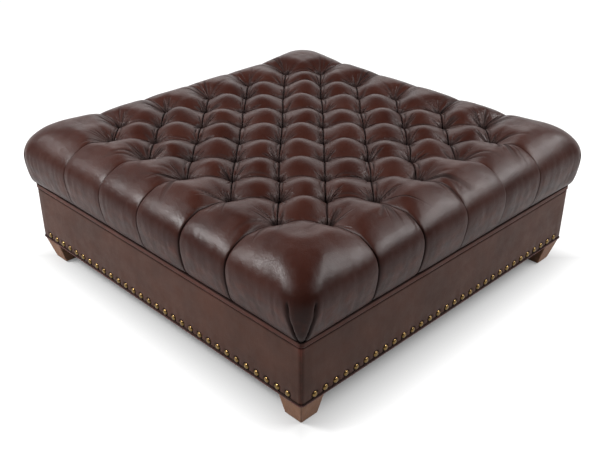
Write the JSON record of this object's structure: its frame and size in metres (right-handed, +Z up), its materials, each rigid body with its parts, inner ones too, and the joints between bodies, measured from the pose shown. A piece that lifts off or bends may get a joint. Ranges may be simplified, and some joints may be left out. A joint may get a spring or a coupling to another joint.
{
  "type": "tufted ottoman",
  "caption": "Square deep-tufted leather ottoman with a nail-trimmed skirt on short tapered wooden legs.",
  "frame": {"origin": "on the floor under the middle of the ottoman", "axes": "+Z up, +X to the right face, +Y to the back face"},
  "size_m": [1.1758, 1.1758, 0.443],
  "materials": {
    "leather": "aged, semi-matt, dark red-brown",
    "leg_wood": "satin, medium warm brown",
    "nail_brass": "antique",
    "frame_wood": "sawn",
    "plywood": "sanded",
    "steel": "zinc plated",
    "foam": "open cell",
    "padding": "bonded fibre",
    "twine": "waxed",
    "card": "plain",
    "black_cloth": "non-woven",
    "glide": "moulded"
  },
  "bodies": {
    "root": {"leg_front_right": "leg_wood", "leg_glide_front_right": "glide", "corner_block_front_right": "frame_wood", "leg_back_right": "leg_wood", "leg_glide_back_right": "glide", "corner_block_back_right": "frame_wood", "leg_back_left": "leg_wood", "leg_glide_back_left": "glide", "corner_block_back_left": "frame_wood", "leg_front_left": "leg_wood", "leg_glide_front_left": "glide", "corner_block_front_left": "frame_wood", "rail_front": "frame_wood", "skirt_leather_front": "leather", "skirt_padding_front": "padding", "seam_band_front": "leather", "bottom_welt_front": "leather", "nails_front": "nail_brass", "rail_right": "frame_wood", "skirt_leather_right": "leather", "skirt_padding_right": "padding", "seam_band_right": "leather", "bottom_welt_right": "leather", "nails_right": "nail_brass", "rail_back": "frame_wood", "skirt_leather_back": "leather", "skirt_padding_back": "padding", "seam_band_back": "leather", "bottom_welt_back": "leather", "nails_back": "nail_brass", "rail_left": "frame_wood", "skirt_leather_left": "leather", "skirt_padding_left": "padding", "seam_band_left": "leather", "bottom_welt_left": "leather", "nails_left": "nail_brass", "leg_hanger_bolts": "steel", "leg_tee_nuts": "steel", "cross_rail_right": "frame_wood", "cross_rail_left": "frame_wood", "frame_screws": "steel", "deck_board": "plywood", "deck_screws": "steel", "foam_block": "foam", "fibre_wrap": "padding", "tufted_cover": "leather", "tuft_buttons": "leather", "tuft_twines": "twine", "tack_strips": "card", "dust_cover": "black_cloth", "dust_cover_tacks": "steel"}
  },
  "joints": []
}
